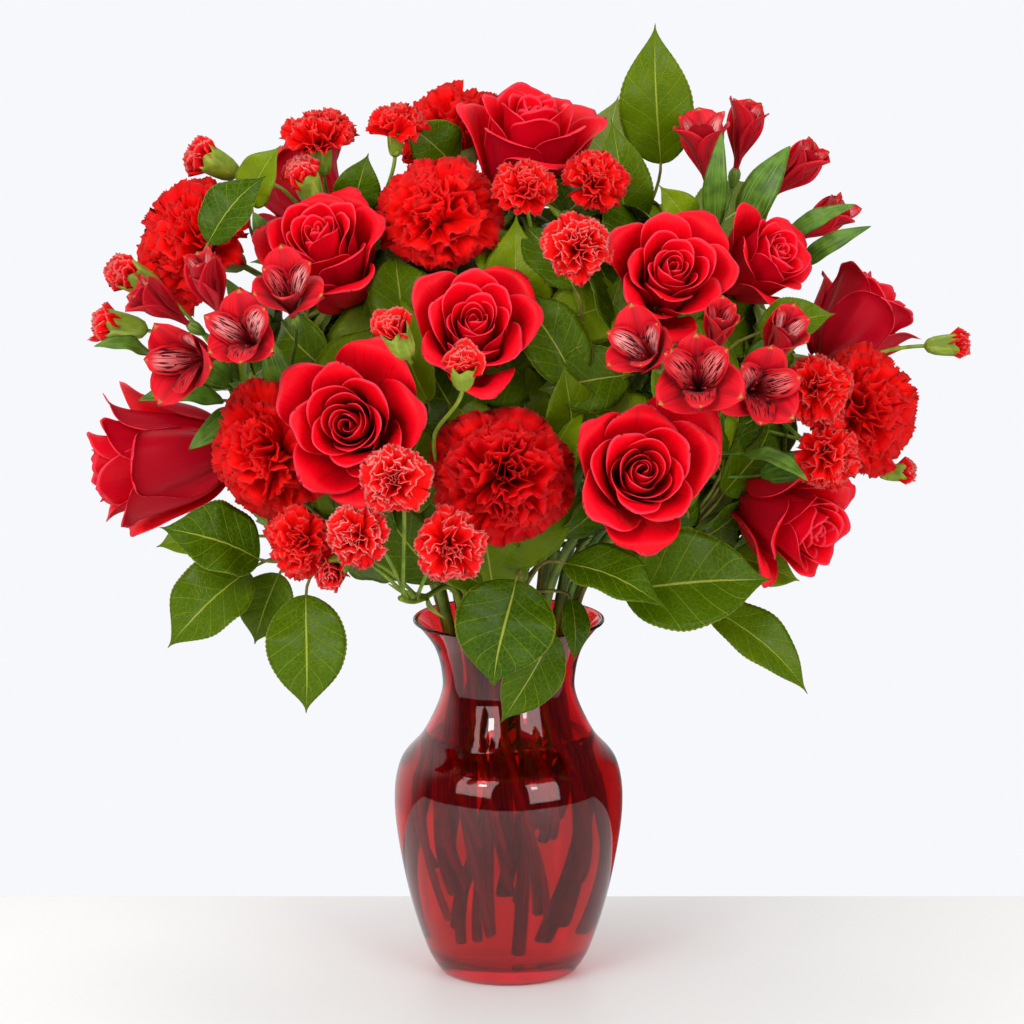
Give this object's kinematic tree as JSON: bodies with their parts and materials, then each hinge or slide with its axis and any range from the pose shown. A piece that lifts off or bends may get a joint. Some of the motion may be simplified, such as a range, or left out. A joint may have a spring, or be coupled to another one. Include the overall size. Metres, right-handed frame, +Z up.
{
  "type": "flower bouquet in a vase",
  "caption": "Full red bouquet of roses, carnations, spray carnations and Peruvian lilies with broad green leaves, standing in water in a flared ruby glass vase.",
  "frame": {"origin": "centre of the vase's foot, on the surface that it stands on", "axes": "+Z up along the vase's axis, -Y towards the front of the bouquet, +X to the viewer's right"},
  "size_m": [0.488, 0.3633, 0.534],
  "materials": {
    "ruby_glass": "clear ruby-red glass, polished",
    "water": "clear still water",
    "rose_petal": "velvety crimson rose petal",
    "rose_green": "green stem, hip and sepals",
    "carnation_petal": "soft frilled red petal",
    "carnation_green": "pale waxy green stem and calyx",
    "spray_carnation": "small frilled coral-red blooms on green stalks",
    "lily": "satin red trumpet florets with dark streaks, green stem",
    "branch_leaf": "glossy green broad leaf"
  },
  "bodies": {
    "root": {"branch_back": "branch_leaf", "branch_back_top": "branch_leaf", "branch_left": "branch_leaf", "branch_low_left": "branch_leaf", "branch_low_middle": "branch_leaf", "branch_low_right": "branch_leaf", "branch_middle": "branch_leaf", "branch_top": "branch_leaf", "carnation_back_petals": "carnation_petal", "carnation_back_stem": "carnation_green", "carnation_back_top_petals": "carnation_petal", "carnation_back_top_stem": "carnation_green", "carnation_far_left_petals": "carnation_petal", "carnation_far_left_stem": "carnation_green", "carnation_front_petals": "carnation_petal", "carnation_front_stem": "carnation_green", "carnation_left_petals": "carnation_petal", "carnation_left_stem": "carnation_green", "carnation_right_petals": "carnation_petal", "carnation_right_stem": "carnation_green", "carnation_upper_petals": "carnation_petal", "carnation_upper_stem": "carnation_green", "lily_left": "lily", "lily_right": "lily", "lily_top_right": "lily", "rose_back_left_petals": "rose_petal", "rose_back_left_stem": "rose_green", "rose_back_petals": "rose_petal", "rose_back_stem": "rose_green", "rose_centre_petals": "rose_petal", "rose_centre_stem": "rose_green", "rose_far_left_petals": "rose_petal", "rose_far_left_stem": "rose_green", "rose_far_right_petals": "rose_petal", "rose_far_right_stem": "rose_green", "rose_front_left_petals": "rose_petal", "rose_front_left_stem": "rose_green", "rose_front_right_petals": "rose_petal", "rose_front_right_stem": "rose_green", "rose_low_right_petals": "rose_petal", "rose_low_right_stem": "rose_green", "rose_right_petals": "rose_petal", "rose_right_stem": "rose_green", "rose_top_petals": "rose_petal", "rose_top_stem": "rose_green", "rose_upper_left_petals": "rose_petal", "rose_upper_left_stem": "rose_green", "rose_upper_right_petals": "rose_petal", "rose_upper_right_stem": "rose_green", "spray_back": "spray_carnation", "spray_buds": "spray_carnation", "spray_front": "spray_carnation", "spray_left": "spray_carnation", "spray_right": "spray_carnation", "spray_top": "spray_carnation", "spray_top_left": "spray_carnation", "vase": "ruby_glass", "water": "water"}
  },
  "joints": []
}
